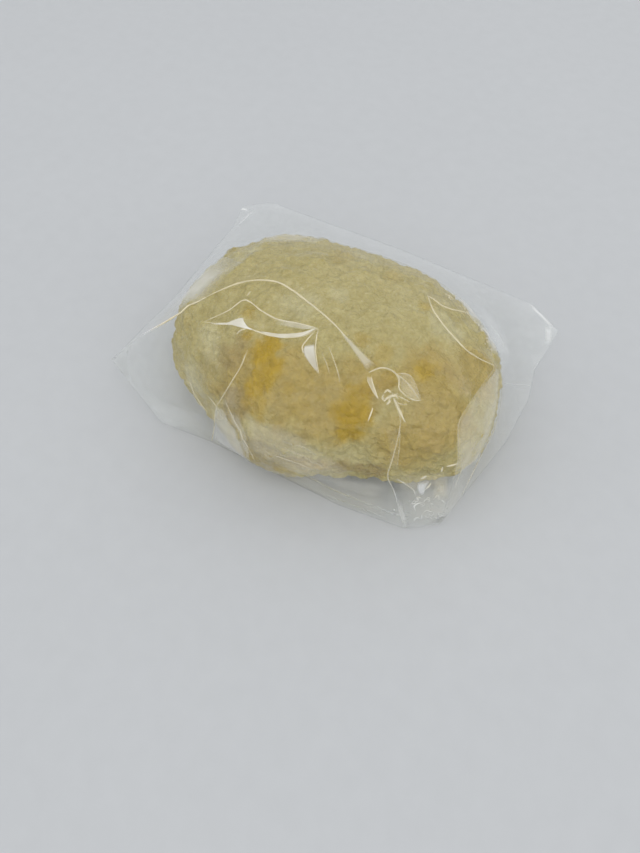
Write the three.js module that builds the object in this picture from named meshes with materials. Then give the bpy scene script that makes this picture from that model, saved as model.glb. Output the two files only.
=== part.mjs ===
// A rice dumpling sealed in a clear film bag, lying flat. Millimetres, +Z up.
// The bag with the dumpling in it is one solid: film drawn over the dumpling,
// flat flaps where the bag is wider than its contents, and a flat underside.
import * as THREE from "three";

// The dumpling: an oval lump, widest low down, with a squarish plan.
const dumpling = {
  middle: new THREE.Vector2(5.1, -8.2), // in plan, from the middle of the bag
  halfLength: 31.7,
  halfWidth: 24,
  height: 27,
  widestAt: 11, // height of the widest line above the underside
  turn: 0.082, // about +Z, in radians
  planPower: 2.6, // 2 would be an ellipse
  sidePower: 2.2,
  footTaper: 0.2, // share by which the foot is narrower than the widest line
};
// Waves round the plan that make the lump uneven: count, cosine and sine share.
const lumps = [
  [3, 0.014, 0.019],
  [4, 0.042, -0.013],
  [5, 0.003, -0.024],
];

const filmGap = 0.5; // from the dumpling to the outside of the film
const edgeThickness = 0.6; // of the two sheets pressed together
const foldHalfWidth = 3.5;
const coarseColumns = 30; // cells along the bag, before they are halved
const coarseRows = 22; // cells across it
const settlingPasses = [500, 200]; // enough for the film to come to rest, first coarse and then fine
const smoothingPasses = 1; // with the folds let go, to even out their edges
const flatShare = 0.62; // middle part of the underside that lies flat

// Corners of the bag's outline, each with its height above the ground.
const frontLeft = point(-38, -27.2, 2.5);
const frontRight = point(38.2, -24.8, 0.6);
const backLeft = point(-41.8, 27.6, 3);
const backRight = point(40.8, 28.8, 3);
const frontTuck = point(-8.8, -31.8, 0); // where the front fold meets the ground
const frontFoot = point(33, -28.8, 0.2);

const edges = {
  front: polyline(frontLeft, point(-20.2, -33.6, 0.5), frontTuck, point(20.2, -30.8, 0), frontFoot, frontRight),
  back: polyline(backLeft, point(-36.5, 32.5, 3), point(-0.5, 33.5, 3.5), point(32.8, 33.6, 3), backRight),
  left: polyline(frontLeft, point(-37.3, -6, 3), point(-39.6, 20, 3), backLeft),
  right: polyline(frontRight, point(41.8, -3.4, 2), point(41.9, 8.7, 2.5), point(40.2, 16.2, 3), backRight),
};

// Folds that hold the film off the dumpling: the share of the way to the core that each falls
// in a millimetre beside its edge, and the corners of its edge.
const tentTop = point(-17.3, -16.6, 23.3);
const crownEnd = point(17.4, -17.4, 25.8);
const knee = point(-5, -32.2, 15.8);
const lipLeft = point(-14.6, -21.4, 22.5);
const lipTip = point(6.5, -15.7, 27.5);
const wedgeTip = point(18.4, 2.8, 25.7);
const wedgeFoot = point(34.8, -0.6, 19.2);
const folds = [
  [0.02, frontLeft, point(-30.4, -23.6, 11.5), point(-23.1, -20.8, 18.3), tentTop],
  [0.05, tentTop, point(-9.3, -10.6, 26.6), point(-4.8, -9.9, 27.4), point(8.1, -13.4, 27.6), crownEnd],
  [0.05, lipLeft, point(-9.3, -16, 26.1), point(-0.7, -17.2, 27.1), lipTip],
  [0.05, lipLeft, point(-6.8, -20.1, 25.6), point(-0.9, -20.6, 26.3), point(5, -18.2, 27.2), lipTip],
  [0.05, point(-2.9, -23.9, 24.5), point(-3.7, -30.1, 19.4), knee],
  [0.02, knee, point(-6.8, -31.9, 8), frontTuck],
  [0.02, knee, point(-1.5, -31.5, 12), point(1.1, -31.5, 0.3)],
  [0.03, crownEnd, point(26, -21.5, 20.8), point(27.2, -26.6, 11.4), point(29.2, -27.2, 8.2), frontFoot],
  [0.05, wedgeTip, point(21.4, -0.3, 25.6), point(26.4, -2.7, 24.5), point(31.2, -2.9, 22.3), wedgeFoot],
  [0.05, wedgeTip, point(22.3, 2.9, 24.6), point(26, 6.9, 21.2)],
  [0.03, wedgeFoot, point(34.6, -8, 20.9), point(34.6, -16.6, 19.7), point(37.2, -20, 12), frontRight],
];

function point(x, y, z) {
  return new THREE.Vector3(x, y, z);
}

function polyline(...corners) {
  const path = new THREE.CurvePath();
  for (let i = 1; i < corners.length; i++) path.add(new THREE.LineCurve3(corners[i - 1], corners[i]));
  return path;
}

// Plan radius of the dumpling in one direction, at its widest line.
function planRadius(angle) {
  const a = angle - dumpling.turn;
  const along = Math.abs(Math.cos(a) / dumpling.halfLength) ** dumpling.planPower;
  const across = Math.abs(Math.sin(a) / dumpling.halfWidth) ** dumpling.planPower;
  const oval = (along + across) ** (-1 / dumpling.planPower);
  const wave = lumps.reduce((sum, [n, c, s]) => sum + c * Math.cos(n * a) + s * Math.sin(n * a), 1);
  return oval * wave;
}

// Moves a point of the film that is inside the dumpling out to its surface.
function clearDumpling(p) {
  const { middle, height, widestAt, sidePower, footTaper } = dumpling;
  const x = p.x - middle.x;
  const y = p.y - middle.y;
  const z = p.z - widestAt;
  const out = Math.hypot(x, y) / (planRadius(Math.atan2(y, x)) + filmGap);
  let scale = 1;
  if (z >= 0) {
    const up = z / (height + filmGap - widestAt);
    scale = Math.max(1, (out ** sidePower + up ** sidePower) ** (-1 / sidePower));
    p.z = widestAt + z * scale;
  } else {
    scale = Math.max(1, (1 - footTaper * (-z / widestAt) ** sidePower) / out);
  }
  p.x = middle.x + x * scale;
  p.y = middle.y + y * scale;
}

// A fold works as a wedge that stands on the dumpling's core, with the fold's line as its edge.
function makeWedges() {
  const core = point(dumpling.middle.x, dumpling.middle.y, dumpling.widestAt);
  const wedges = [];
  for (const [fall, ...corners] of folds) {
    const line = new THREE.CatmullRomCurve3(corners).getPoints(2 * corners.length);
    for (let i = 1; i < line.length; i++) {
      const from = line[i - 1].clone().sub(core);
      const to = line[i].clone().sub(core);
      const side = from.clone().cross(to).normalize();
      const frame = new THREE.Matrix3().set(from.x, to.x, side.x, from.y, to.y, side.y, from.z, to.z, side.z);
      wedges.push({ fall, core, frame, inverse: frame.clone().invert() });
    }
  }
  return wedges;
}

const share = point(0, 0, 0);

function clearWedge(p, { fall, core, frame, inverse }) {
  share.copy(p).sub(core).applyMatrix3(inverse);
  const reach = share.x + share.y;
  const beside = Math.abs(share.z);
  const full = 1 - fall * beside;
  if (beside > foldHalfWidth || share.x < 0 || share.y < 0 || reach >= full) return;
  share.x *= full / reach;
  share.y *= full / reach;
  p.copy(share.applyMatrix3(frame).add(core));
}

// The sheet that the four edges span, before anything lifts it.
function spanned(u, v) {
  const sum = point(0, 0, 0);
  sum.addScaledVector(edges.front.getPoint(u), 1 - v).addScaledVector(edges.back.getPoint(u), v);
  sum.addScaledVector(edges.left.getPoint(v), 1 - u).addScaledVector(edges.right.getPoint(v), u);
  sum.addScaledVector(frontLeft, -(1 - u) * (1 - v)).addScaledVector(frontRight, -u * (1 - v));
  return sum.addScaledVector(backLeft, -(1 - u) * v).addScaledVector(backRight, -u * v);
}

// A net of so many cells, with one point for each crossing.
function net(columns, rows, shape) {
  const points = [];
  for (let j = 0; j <= rows; j++) {
    for (let i = 0; i <= columns; i++) points.push(shape(i / columns, j / rows));
  }
  return { columns, rows, points };
}

const onEdge = (u, v) => u === 0 || u === 1 || v === 0 || v === 1;

// One pass of tension: each point goes to the middle of its neighbours, clear of what holds it up.
function tighten({ columns, rows, points }, wedges) {
  const wide = columns + 1;
  for (let j = 1; j < rows; j++) {
    for (let i = 1; i < columns; i++) {
      const k = j * wide + i;
      const p = points[k];
      p.copy(points[k - 1]).add(points[k + 1]).add(points[k - wide]).add(points[k + wide]);
      p.multiplyScalar(0.25);
      clearDumpling(p);
      wedges.forEach((wedge) => clearWedge(p, wedge));
    }
  }
}

// Place on a net between its points, in cells.
function between({ columns, rows, points }, x, y) {
  const i = Math.min(Math.floor(x), columns - 1);
  const j = Math.min(Math.floor(y), rows - 1);
  const k = j * (columns + 1) + i;
  const near = points[k].clone().lerp(points[k + 1], x - i);
  const far = points[k + columns + 1].clone().lerp(points[k + columns + 2], x - i);
  return near.lerp(far, y - j);
}

const filmEdge = (u, v) => spanned(u, v).add(point(0, 0, edgeThickness));

// Upper film: pulled tight between the edges, over the dumpling and the folds.
function upperFilm() {
  const wedges = makeWedges();
  let film = net(coarseColumns, coarseRows, (u, v) => {
    const p = filmEdge(u, v);
    if (!onEdge(u, v)) p.z = dumpling.height;
    return p;
  });
  for (const [halvings, passes] of settlingPasses.entries()) {
    if (halvings > 0) {
      const coarse = film;
      film = net(coarse.columns * 2, coarse.rows * 2, (u, v) =>
        onEdge(u, v) ? filmEdge(u, v) : between(coarse, u * coarse.columns, v * coarse.rows),
      );
    }
    for (let pass = 0; pass < passes; pass++) tighten(film, wedges);
  }
  for (let pass = 0; pass < smoothingPasses; pass++) tighten(film, []);
  return film;
}

// Underside: flat in the middle, rising to the height of each edge.
function lowerFilm({ columns, rows }) {
  return net(columns, rows, (u, v) => {
    const p = spanned(u, v);
    const outward = Math.max(Math.abs(2 * u - 1), Math.abs(2 * v - 1));
    p.z *= THREE.MathUtils.smoothstep(outward, flatShare, 1);
    return p;
  });
}

// Closes the two sheets into one body with a strip all round the edge.
function closedBody(upper, lower) {
  const { columns, rows } = upper;
  const wide = columns + 1;
  const offset = upper.points.length;
  const faces = [];
  for (let j = 0; j < rows; j++) {
    for (let i = 0; i < columns; i++) {
      const k = j * wide + i;
      faces.push(k, k + 1, k + wide + 1, k, k + wide + 1, k + wide);
      const l = k + offset;
      faces.push(l, l + wide + 1, l + 1, l, l + wide, l + wide + 1);
    }
  }
  const rim = [];
  for (let i = 0; i < columns; i++) rim.push(i);
  for (let j = 0; j < rows; j++) rim.push(j * wide + columns);
  for (let i = columns; i > 0; i--) rim.push(rows * wide + i);
  for (let j = rows; j > 0; j--) rim.push(j * wide);
  rim.forEach((a, n) => {
    const b = rim[(n + 1) % rim.length];
    faces.push(a, a + offset, b, b, a + offset, b + offset);
  });
  const geometry = new THREE.BufferGeometry().setFromPoints([...upper.points, ...lower.points]);
  geometry.setIndex(faces);
  geometry.computeVertexNormals();
  return geometry;
}

// Puts the middle of the outline over the origin and the underside at zero.
function centred(geometry) {
  geometry.computeBoundingBox();
  const middle = geometry.boundingBox.getCenter(new THREE.Vector3());
  return geometry.translate(-middle.x, -middle.y, -geometry.boundingBox.min.z);
}

const clearFilm = new THREE.MeshStandardMaterial({ color: 0xb9ab78, roughness: 0.2, metalness: 0 });
const upper = upperFilm();
const bag = new THREE.Mesh(centred(closedBody(upper, lowerFilm(upper))), clearFilm);
bag.name = "film_bag";

const part = new THREE.Group();
part.add(bag);
export default part;
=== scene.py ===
import math

import bpy
import numpy as np
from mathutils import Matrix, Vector, kdtree, noise
from mathutils.bvhtree import BVHTree


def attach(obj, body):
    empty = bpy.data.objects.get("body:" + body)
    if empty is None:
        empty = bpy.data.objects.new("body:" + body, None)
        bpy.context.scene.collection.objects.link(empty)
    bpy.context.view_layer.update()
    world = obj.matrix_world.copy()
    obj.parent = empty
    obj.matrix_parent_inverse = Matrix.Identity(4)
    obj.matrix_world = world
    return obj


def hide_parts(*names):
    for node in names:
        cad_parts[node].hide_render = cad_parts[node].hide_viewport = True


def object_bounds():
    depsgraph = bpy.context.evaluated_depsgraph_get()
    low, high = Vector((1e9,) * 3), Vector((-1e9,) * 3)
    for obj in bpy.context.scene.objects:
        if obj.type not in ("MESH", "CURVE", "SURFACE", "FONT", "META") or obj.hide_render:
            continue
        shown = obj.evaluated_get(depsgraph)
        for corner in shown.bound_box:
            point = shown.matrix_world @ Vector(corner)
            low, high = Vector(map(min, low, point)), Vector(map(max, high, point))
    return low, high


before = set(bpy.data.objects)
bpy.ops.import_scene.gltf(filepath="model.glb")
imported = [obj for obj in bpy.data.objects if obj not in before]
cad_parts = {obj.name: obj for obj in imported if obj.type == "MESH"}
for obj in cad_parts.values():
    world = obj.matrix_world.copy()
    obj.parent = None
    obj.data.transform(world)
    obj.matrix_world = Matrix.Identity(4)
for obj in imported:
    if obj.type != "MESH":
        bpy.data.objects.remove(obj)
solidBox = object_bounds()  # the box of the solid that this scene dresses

mm = 0.001  # the tables below are in millimetres, and meshes are made in metres

# The bag's outline, each corner with its height above the floor.
bagEdges = {
    "front": ((-38, -27.2, 2.5), (-20.2, -33.6, 0.5), (-8.8, -31.8, 0), (20.2, -30.8, 0),
              (33, -28.8, 0.2), (38.2, -24.8, 0.6)),
    "back": ((-41.8, 27.6, 3), (-36.5, 32.5, 3), (-0.5, 33.5, 3.5), (32.8, 33.6, 3), (40.8, 28.8, 3)),
    "left": ((-38, -27.2, 2.5), (-37.3, -6, 3), (-39.6, 20, 3), (-41.8, 27.6, 3)),
    "right": ((38.2, -24.8, 0.6), (41.8, -3.4, 2), (41.9, 8.7, 2.5), (40.2, 16.2, 3), (40.8, 28.8, 3)),
}

outline = np.array([corner for edge in bagEdges.values() for corner in edge])
home = np.array(solidBox[1]) / mm - outline.max(axis=0)  # where the tables' zero lies in the part's frame
home[2] = 0


def activeAs(name):
    made = bpy.context.active_object
    made.name = made.data.name = name
    return made


def onWholeMesh(operator, **settings):
    bpy.ops.object.mode_set(mode="EDIT")
    bpy.ops.mesh.select_all(action="SELECT")
    operator(**settings)
    bpy.ops.object.mode_set(mode="OBJECT")


def toFrame(points):
    return (np.asarray(points) + home) * mm


def fromFrame(points):
    return np.asarray(points) / mm - home


def readPoints(mesh):
    flat = np.empty(len(mesh.vertices) * 3, dtype=np.float32)
    mesh.vertices.foreach_get("co", flat)
    return fromFrame(flat.reshape(-1, 3).astype(float))


def writePoints(mesh, points):
    mesh.vertices.foreach_set("co", toFrame(points).astype(np.float32).ravel())
    mesh.update()


def addShare(mesh, name, values):  # a number from 0 to 1 at every vertex, for a material to read
    layer = mesh.attributes.new(name, "FLOAT", "POINT")
    layer.data.foreach_set("value", np.clip(values, 0, 1).astype(np.float32))


def smoothStep(x):
    x = np.clip(x, 0, 1)
    return x * x * (3 - 2 * x)


def flatNoise(points, size):  # about -1 to 1, the same on every run
    return np.array([noise.noise(Vector(p)) for p in points / size])


def smoothLine(corners, steps):  # a soft curve through the corners, with so many steps between two
    corners = np.array(corners, dtype=float)
    padded = np.concatenate([[2 * corners[0] - corners[1]], corners, [2 * corners[-1] - corners[-2]]])
    line = [corners[0]]
    for a, b, c, d in zip(padded, padded[1:], padded[2:], padded[3:]):
        for t in np.arange(1, steps + 1) / steps:
            line.append(b + t / 2 * (c - a + t * (2 * a - 5 * b + 4 * c - d + t * (3 * (b - c) + d - a))))
    return np.array(line)


# The lump of rice dough, in the same sizes as the solid.
dumpling = {
    "middle": (5.1, -8.2),
    "halfLength": 31.7,
    "halfWidth": 24.0,
    "height": 27.0,
    "widestAt": 11.0,
    "lift": 0.3,  # film under it
    "turn": 0.082,
    "planPower": 2.6,
    "sidePower": 2.2,
    "footPower": 3.2,  # how square the lower half is
    "footTaper": 0.2,  # what the film sees of the lower half
    "waves": ((3, 0.014, 0.019), (4, 0.042, -0.013), (5, 0.003, -0.024)),  # how many around, and how deep
    "cuts": 100,  # of each edge of the cube that it starts from
    "relief": {  # kind, size and height of its unevenness, from hand-made to crushed grains
        "swell": ("CLOUDS", 9.0, 1.8),
        "lumps": ("CLOUDS", 2.6, 1.5),
        "grains": ("VORONOI", 1.5, 0.7),
    },
    "raggedRims": ((3.2, 1.5), (1.1, 0.9)),  # of the patches: sizes and depths of the waves in them
    "raggedFrom": 3.0,  # patches with a smaller reach are less ragged
    "patchCore": 0.5,  # share of a patch's reach where it is full
    "patchFade": 0.7,  # share over which it then fades
}
core = np.array([*dumpling["middle"], dumpling["widestAt"]])  # what every fold stands out from

# Places where the dough differs, some of them painted light and shade: middle, reach and how much.
patches = {
    "amber": (  # sweet potato that shows through
        ((-0.4, -23.0, 25.0), 3.4, 1.0),
        ((0.6, -21.2, 25.9), 2.2, 0.9),
        ((1.9, -24.3, 24.2), 2.6, 0.9),
        ((1.5, -27.6, 22.6), 3.2, 0.85),
        ((2.6, -29.9, 20.4), 2.6, 0.45),
        ((3.6, -31.0, 19.5), 2.4, 0.45),
        ((-6.9, -17.2, 24.7), 1.8, 0.5),
        ((-4.7, -21.1, 24.2), 1.6, 0.6),
        ((18.1, -23.9, 20.9), 3.5, 1.0),
        ((17.9, -21.3, 22.5), 2.6, 0.7),
        ((18.4, -26.2, 19.2), 2.6, 0.8),
        ((16.4, -25.4, 21.0), 2.2, 0.6),
        ((25.5, -11.5, 24.3), 2.2, 0.6),
        ((18.0, -13.0, 25.2), 2.0, 0.3),
        ((13.9, -13.2, 26.0), 1.7, 0.35),
        ((32.4, -1.1, 19.5), 2.4, 0.3),
        ((7.3, -26.4, 22.9), 1.6, 0.3),
        ((10.1, -28.5, 21.7), 1.8, 0.25),
        ((18.9, 0.7, 25.0), 1.3, 0.35),
        ((-18.7, -20.9, 19.7), 1.6, 0.2),
        ((-6.8, -29.7, 16.7), 1.8, 0.2),
        ((20.9, -17.5, 24.2), 1.8, 0.25),
    ),
    "warm": (
        ((-0.5, -26.9, 23.0), 7.5, 0.85),
        ((6.4, -26.5, 23.6), 8.0, 0.85),
        ((13.8, -25.7, 22.3), 8.0, 0.85),
        ((17.5, -20.5, 24.4), 6.0, 0.8),
        ((17.2, -12.9, 25.4), 4.0, 0.15),
        ((27.2, -11.9, 24.1), 7.0, 0.85),
        ((31.0, -16.9, 21.3), 7.5, 0.8),
        ((32.9, -4.7, 21.3), 6.0, 0.7),
        ((28.7, -22.6, 17.7), 7.0, 0.8),
        ((10.6, 4.5, 25.4), 2.4, 0.3),
        ((-0.2, 4.8, 25.1), 2.8, 0.3),
        ((20.9, -17.3, 24.4), 2.2, 0.9),
    ),
    # Painted shade: darker dough in the folds beside the sweet potato, along the lump's shaded bottom edge
    # and over its lower front.
    "shade": (
        ((-6.1, -25.6, 22.4), 3.4, 0.55),
        ((-5.4, -22.8, 24.2), 2.4, 0.6),
        ((-0.2, -30.9, 19.8), 1.8, 0.5),
        ((-5.7, -30.9, 17.1), 2.2, 0.6),
        ((-8.0, -28.0, 18.0), 5.0, 0.3),
        ((-1.0, -31.0, 17.5), 4.0, 0.75),
        ((10.0, -32.0, 17.0), 4.0, 0.3),
        ((6.0, -33.5, 10.5), 6.5, 0.6),
        ((29.7, -9.0, 23.3), 1.5, 0.5),
        ((19.2, -28.3, 10.9), 2.6, 0.8),
        ((23.9, -25.6, 9.6), 2.8, 0.8),
        ((21.6, -27.0, 10.2), 2.0, 0.8),
    ),
    # Partly paler dough, partly painted sheen: the milky film's reflection painted into the dough at its
    # top, rims and lower front.
    "paleAndSheen": (
        ((12.6, -33.0, 14.0), 6.5, 0.4),
        ((19.7, -28.7, 12.0), 4.5, 0.4),
        ((5.0, -34.0, 13.0), 7.0, 0.2),
        ((38.5, -8.0, 13.0), 6.0, 0.55),
        ((-9.9, -26.1, 20.8), 2.4, 0.55),
        ((-12.8, -23.4, 21.8), 3.0, 0.55),
        ((7.3, -29.6, 21.4), 1.9, 0.5),
        ((5.9, -28.9, 21.0), 2.2, 0.7),
        ((12.9, -22.5, 24.3), 2.2, 0.5),
        ((0.4, -11.9, 27.6), 4.5, 0.55),
        ((27.9, -18.3, 22.1), 2.2, 0.4),
        ((2.5, 6.3, 24.7), 4.0, 0.4),
        ((-13.1, -29.0, 14.3), 4.0, 0.7),
        ((-22.9, -12.6, 19.9), 5.0, 0.7),
        ((23.7, -0.9, 23.9), 3.5, 0.6),
        ((26.0, -1.0, 22.6), 2.2, 0.6),
        ((15.9, -0.8, 25.8), 4.0, 0.15),
        ((5.3, -6.1, 27.2), 2.2, 0.5),
        ((-17.9, -3.1, 22.8), 3.5, 0.5),
    ),
    "rosy": (
        ((12.9, -33.0, 12.0), 3.6, 0.5),
        ((16.3, -30.8, 11.7), 2.6, 0.5),
        ((-16.4, 14.3, 13.0), 3.0, 0.3),
        ((32.2, -9.7, 22.2), 2.4, 0.4),
        ((31.3, -20.3, 18.3), 3.0, 0.5),
    ),
}


def planRadius(angle):
    a = angle - dumpling["turn"]
    power = dumpling["planPower"]
    along = np.abs(np.cos(a) / dumpling["halfLength"]) ** power
    across = np.abs(np.sin(a) / dumpling["halfWidth"]) ** power
    wave = 1 + sum(c * np.cos(n * a) + s * np.sin(n * a) for n, c, s in dumpling["waves"])
    return (along + across) ** (-1 / power) * wave


# A cube cut fine and blown up to a ball, then given the lump's own shape.
def makeDumpling():
    bpy.ops.mesh.primitive_cube_add(size=2)
    lump = activeAs("dumpling")
    onWholeMesh(bpy.ops.mesh.subdivide, number_cuts=dumpling["cuts"])
    ball = np.tan((readPoints(lump.data) + home) * mm * math.pi / 4)  # evens out the cells
    ball /= np.linalg.norm(ball, axis=1)[:, None]
    flat, up = np.hypot(ball[:, 0], ball[:, 1]), ball[:, 2]
    angle = np.arctan2(ball[:, 1], ball[:, 0])
    power = np.where(up >= 0, dumpling["sidePower"], dumpling["footPower"])
    reach = (flat ** power + np.abs(up) ** power) ** (-1 / power)
    out = planRadius(angle) * flat * reach
    above, below = dumpling["height"] - dumpling["widestAt"], dumpling["widestAt"] - dumpling["lift"]
    x = dumpling["middle"][0] + out * np.cos(angle)
    y = dumpling["middle"][1] + out * np.sin(angle)
    z = dumpling["widestAt"] + up * reach * np.where(up >= 0, above, below)
    writePoints(lump.data, np.stack([x, y, z], axis=1))
    for name, relief in dumpling["relief"].items():
        roughen(lump, name, *relief)
    points = readPoints(lump.data)
    points[:, 2] = np.maximum(points[:, 2], dumpling["lift"])  # it lies flat
    writePoints(lump.data, points)
    markPatches(lump.data, points)
    bpy.ops.object.shade_smooth()
    return lump


def roughen(piece, name, kind, size, height):
    texture = bpy.data.textures.new(name, kind)
    texture.noise_scale = size * mm
    push = piece.modifiers.new(name, "DISPLACE")
    push.texture = texture
    push.texture_coords = "LOCAL"
    push.mid_level = 0.5
    push.strength = height * mm * (-1 if kind == "VORONOI" else 1)  # cells stand out at their middles
    bpy.ops.object.modifier_apply(modifier=name)


def markPatches(mesh, points):
    ragged = sum(flatNoise(points, size) * depth for size, depth in dumpling["raggedRims"])
    for name, spots in patches.items():
        share = np.zeros(len(points))
        for middle, reach, strength in spots:
            away = np.linalg.norm(points - np.array(middle), axis=1)
            away += ragged * min(reach / dumpling["raggedFrom"], 1)
            fading = smoothStep((away / reach - dumpling["patchCore"]) / dumpling["patchFade"])
            share = np.maximum(share, strength * (1 - fading))
        addShare(mesh, name, share)


# The bag's two sheets of film.
film = {
    "gap": 0.35,  # from the dough's smooth shape to the film over it
    "cling": 0.12,  # from the grains to the film
    "clingReach": 0.15,  # film this near to that lies on the grains
    "probe": 6.0,  # how far above the film the dough is looked for
    "drapings": 24,
    "seam": 0.3,  # between the two sheets at the edge
    "columns": 38,
    "rows": 30,
    "passes": (400, 200, 100, 60),  # of tension: the cells are halved after each but the last
    "foldHalfWidth": 3.5,
    "foldMargins": (1.5, 0.3, 0.5),  # of what a fold may reach: beside it, before its ends, beyond its edge
    "foldTurns": 25,  # passes after which that is worked out again
    "lift": 0.1,  # of the lower sheet over the floor
    "flatShare": 0.62,  # of the lower sheet that lies flat
    "haze": 0.012,
    "flapHaze": 0.05,  # beside the dough
    "hazeSize": 2.2,  # of the uneven places in it
    "hazeUneven": 0.8,
    "creamReach": 5.0,  # beside the dough, till its colour no longer shows in the film
}

# Folds hold the film up: how steeply each falls away beside its edge, the edge's half
# thickness, how white its painted highlight is (partly real whitening of creased film), and its points.
knee = (-5.0, -32.2, 15.8)
lipTip = (6.5, -15.7, 27.5)
folds = {
    "tentFoot": (0.02, 0.08, 0.25, ((-38, -27.2, 2.6), (-34.2, -25.4, 7.3), (-30.4, -23.6, 11.5))),
    "tent": (0.02, 0.19, 1.25, ((-30.4, -23.6, 11.5), (-23.1, -20.8, 18.3), (-17.3, -16.6, 23.3))),
    "crown": (0.05, 0.18, 0.7, ((-17.3, -16.6, 23.3), (-13.5, -12.9, 25.3), (-9.3, -10.6, 26.6),
        (-4.8, -9.9, 27.4), (1.8, -11.5, 27.8), (8.1, -13.4, 27.6), (11.9, -14.9, 27.1))),
    "crownEnd": (0.05, 0.1, 0.25, ((11.0, -14.6, 27.2), (13.8, -15.7, 26.7), (17.4, -17.4, 25.8))),
    "lipUpper": (0.05, 0.13, 0.8, ((-14.6, -21.4, 22.5), (-10.7, -18.7, 25.3), (-9.3, -16.0, 26.1),
        (-7.8, -15.8, 26.5), (-4.5, -16.8, 26.8), (-0.7, -17.2, 27.1), (3.3, -16.3, 27.5), lipTip)),
    "lipLower": (0.05, 0.14, 0.6, ((-14.6, -21.4, 22.5), (-9.9, -21.3, 24.5), (-6.8, -20.1, 25.6),
        (-5.1, -20.6, 25.8), (-0.9, -20.6, 26.3), (2.4, -19.8, 26.9), (5.0, -18.2, 27.2), lipTip)),
    "lipTail": (0.05, 0.12, 0.55, (lipTip, (7.1, -17.3, 27.2), (8.3, -19.6, 26.5), (10.7, -22.5, 25.1))),
    "slant": (0.05, 0.12, 0.5, ((-2.9, -23.9, 24.5), (-2.8, -26.9, 22.7), (-3.7, -30.1, 19.4), knee)),
    "tuckLeft": (0.02, 0.12, 0.6, (knee, (-6.8, -31.9, 8.0), (-8.8, -31.8, 0.3))),
    "tuckRight": (0.02, 0.1, 0.15, (knee, (-1.5, -31.5, 12.0), (1.1, -31.5, 0.3))),
    "arc": (0.05, 0.18, 0.45, ((18.0, -18.3, 25.6), (18.1, -17.9, 25.7), (19.4, -16.4, 26.0),
        (21.2, -15.9, 25.7), (22.6, -16.4, 25.1), (23.5, -17.8, 24.4), (25.3, -18.1, 23.6))),
    "leafOuter": (0.05, 0.1, 0.25, ((21.8, -15.9, 25.4), (23.5, -14.8, 25.1), (25.0, -15.2, 24.4),
        (27.4, -17.1, 23.0))),
    "dropLeft": (0.03, 0.12, 0.4, ((23.9, -19.8, 23.0), (26.0, -21.5, 20.8), (27.0, -25.0, 15.6),
        (27.2, -26.6, 11.4), (29.2, -27.2, 8.2), (33, -28.8, 0.4))),
    "wedgeLong": (0.05, 0.16, 0.6, ((18.4, 2.8, 25.7), (21.4, -0.3, 25.6), (26.4, -2.7, 24.5),
        (31.2, -2.9, 22.3), (34.8, -0.6, 19.2))),
    "wedgeShort": (0.05, 0.14, 0.55, ((18.4, 2.8, 25.7), (22.3, 2.9, 24.6), (26.0, 6.9, 21.2))),
    "side": (0.03, 0.1, 0.2, ((34.8, -0.6, 19.2), (34.6, -8.0, 20.9), (34.2, -14.2, 20.6),
        (34.6, -16.6, 19.7), (36.0, -18.4, 16.9), (37.2, -20.0, 12.0), (38.2, -24.6, 0.8))),
}


def alongLine(corners, shares):  # places along a line with corners, by its length
    corners = np.array(corners, dtype=float)
    run = np.concatenate([[0], np.cumsum(np.linalg.norm(np.diff(corners, axis=0), axis=1))])
    return np.stack([np.interp(shares * run[-1], run, corners[:, k]) for k in range(3)], axis=1)


def spannedSheet(columns, rows):  # what the four edges span, before anything lifts it
    u, v = np.linspace(0, 1, columns + 1), np.linspace(0, 1, rows + 1)
    front, back = alongLine(bagEdges["front"], u), alongLine(bagEdges["back"], u)
    left, right = alongLine(bagEdges["left"], v), alongLine(bagEdges["right"], v)
    u, v = u[None, :, None], v[:, None, None]
    sheet = (1 - v) * front + v * back + (1 - u) * left[:, None] + u * right[:, None]
    corners = (1 - v) * ((1 - u) * front[0] + u * front[-1]) + v * ((1 - u) * back[0] + u * back[-1])
    return sheet - corners


def clearDumpling(p):  # film inside the dough is moved out to just over it
    middle, gap = np.array(dumpling["middle"]), film["gap"]
    flat = p[..., :2] - middle
    up = p[..., 2] - dumpling["widestAt"]
    out = np.hypot(flat[..., 0], flat[..., 1]) / (planRadius(np.arctan2(flat[..., 1], flat[..., 0])) + gap)
    power = dumpling["sidePower"]
    tall = np.maximum(up, 0) / (dumpling["height"] + gap - dumpling["widestAt"])
    low = np.clip(-up / dumpling["widestAt"], 0, 1)
    over = (out ** power + tall ** power) ** (-1 / power)
    under = (1 - dumpling["footTaper"] * low ** power) / np.maximum(out, 1e-6)  # never divides by zero
    scale = np.maximum(np.where(up >= 0, over, under), 1)
    height = dumpling["widestAt"] + np.where(up >= 0, up * scale, up)
    return np.concatenate([middle + flat * scale[..., None], height[..., None]], axis=-1)


def makeWedges():  # each stands on the dumpling's core, with a stretch of fold as its edge
    wedges = []
    for fall, _, _, corners in folds.values():
        line = smoothLine(corners, steps=2) - core
        for start, end in zip(line, line[1:]):
            beside = np.cross(start, end)
            axes = np.stack([start, end, beside / np.linalg.norm(beside)], axis=1)
            wedges.append((axes, np.linalg.inv(axes), fall))
    return wedges


def nearWedges(p, wedges):  # which points each wedge could reach while the net moves a little
    beside, before, beyond = film["foldMargins"]
    found = []
    for _, inverse, _ in wedges:
        share = (p - core) @ inverse.T
        close = (np.abs(share[:, 2]) < film["foldHalfWidth"] + beside) & (share[:, :2] > -before).all(axis=1)
        found.append(np.nonzero(close & (share[:, 0] + share[:, 1] < 1 + beyond))[0])
    return found


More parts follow.
